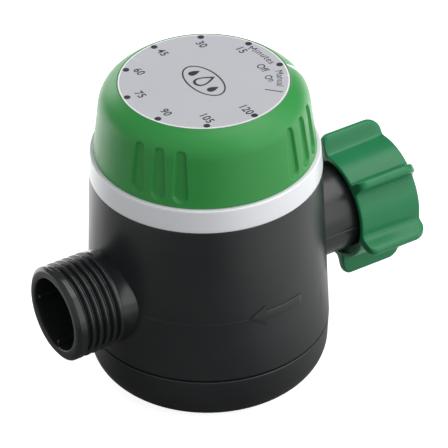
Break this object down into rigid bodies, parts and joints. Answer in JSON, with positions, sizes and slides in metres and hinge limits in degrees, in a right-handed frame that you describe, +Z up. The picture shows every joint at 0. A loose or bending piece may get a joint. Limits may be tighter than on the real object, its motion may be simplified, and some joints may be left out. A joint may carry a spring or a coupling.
{
  "type": "hose-end water timer",
  "caption": "Clockwork hose-end water timer: turning dial over a spring-closed valve, threaded outlet and swivel inlet nut.",
  "frame": {"origin": "centre of the flat foot under the base cap", "axes": "+Z up along the dial's axis, +X along the water way towards the swivel inlet, so the outlet faces -X and the flow arrow is on the -Y side"},
  "size_m": [0.1089, 0.0668, 0.0913],
  "materials": {
    "black_plastic": "moulded",
    "green_dial": "moulded",
    "green_nut": "moulded",
    "silver_plastic": "metallic paint",
    "white_plastic": "moulded",
    "rubber": "moulded",
    "brass": "rolled",
    "steel": "ground"
  },
  "bodies": {
    "housing": {"valve_body": "black_plastic", "base_cap": "black_plastic", "trim_ring": "silver_plastic", "dial_label": "silver_plastic", "centre_post": "steel", "coupling_washer": "rubber", "chamber_plug": "white_plastic", "plug_o_ring": "rubber", "stem_o_ring": "rubber", "gland_bush": "brass", "bottom_plate": "brass", "top_plate": "brass", "pillars": "brass", "plate_screws": "steel", "fixing_screws": "steel", "mainspring": "steel", "hairspring": "steel", "valve_spring": "steel"},
    "dial": {"timer_dial": "green_dial", "centre_sleeve": "brass", "valve_cam": "white_plastic", "main_wheel": "brass"},
    "second_arbor": {"second_pinion": "steel", "second_wheel": "brass"},
    "third_arbor": {"third_pinion": "steel", "third_wheel": "brass"},
    "escape_arbor": {"escape_pinion": "steel", "escape_wheel": "brass"},
    "balance": {"balance_wheel": "brass", "balance_staff": "steel"},
    "plunger": {"valve_stem": "white_plastic", "valve_seal": "rubber"},
    "swivel_nut": {"inlet_coupling": "green_nut"}
  },
  "joints": [
    {"name": "dial_turn", "type": "hinge", "parent": "housing", "child": "dial", "pos_m": [0, 0, 0.06], "axis": [0, 0, 1], "range_deg": [-36, 288]},
    {"name": "second_arbor_turn", "type": "hinge", "parent": "housing", "child": "second_arbor", "pos_m": [0, 0.0147, 0.06], "axis": [0, 0, 1], "range_deg": [-1729, 217]},
    {"name": "third_arbor_turn", "type": "hinge", "parent": "housing", "child": "third_arbor", "pos_m": [-0.01134, 0.0092, 0.06], "axis": [0, 0, 1], "range_deg": [-1081, 8641]},
    {"name": "escape_turn", "type": "hinge", "parent": "housing", "child": "escape_arbor", "pos_m": [-0.01406, -0.0031, 0.06], "axis": [0, 0, 1], "range_deg": [-43201, 5401]},
    {"name": "balance_swing", "type": "hinge", "parent": "housing", "child": "balance", "pos_m": [-0.00947, -0.01084, 0.06], "axis": [0, 0, 1], "range_deg": [-40, 40], "stiffness_Nm_per_rad": 0.000002},
    {"name": "valve_lift", "type": "slide", "parent": "housing", "child": "plunger", "axis": [0, 0, -1], "range_m": [0, 0.003], "stiffness_N_per_m": 400, "springref_m": -0.004, "deforming": ["valve_spring"]},
    {"name": "coupling_spin", "type": "hinge", "parent": "housing", "child": "swivel_nut", "pos_m": [0.05, 0, 0.0348], "axis": [1, 0, 0], "continuous": true}
  ],
  "couplings": [
    {"joint": "second_arbor_turn", "follows": "dial_turn", "ratio": -6},
    {"joint": "third_arbor_turn", "follows": "dial_turn", "ratio": 30},
    {"joint": "escape_turn", "follows": "dial_turn", "ratio": -150}
  ]
}
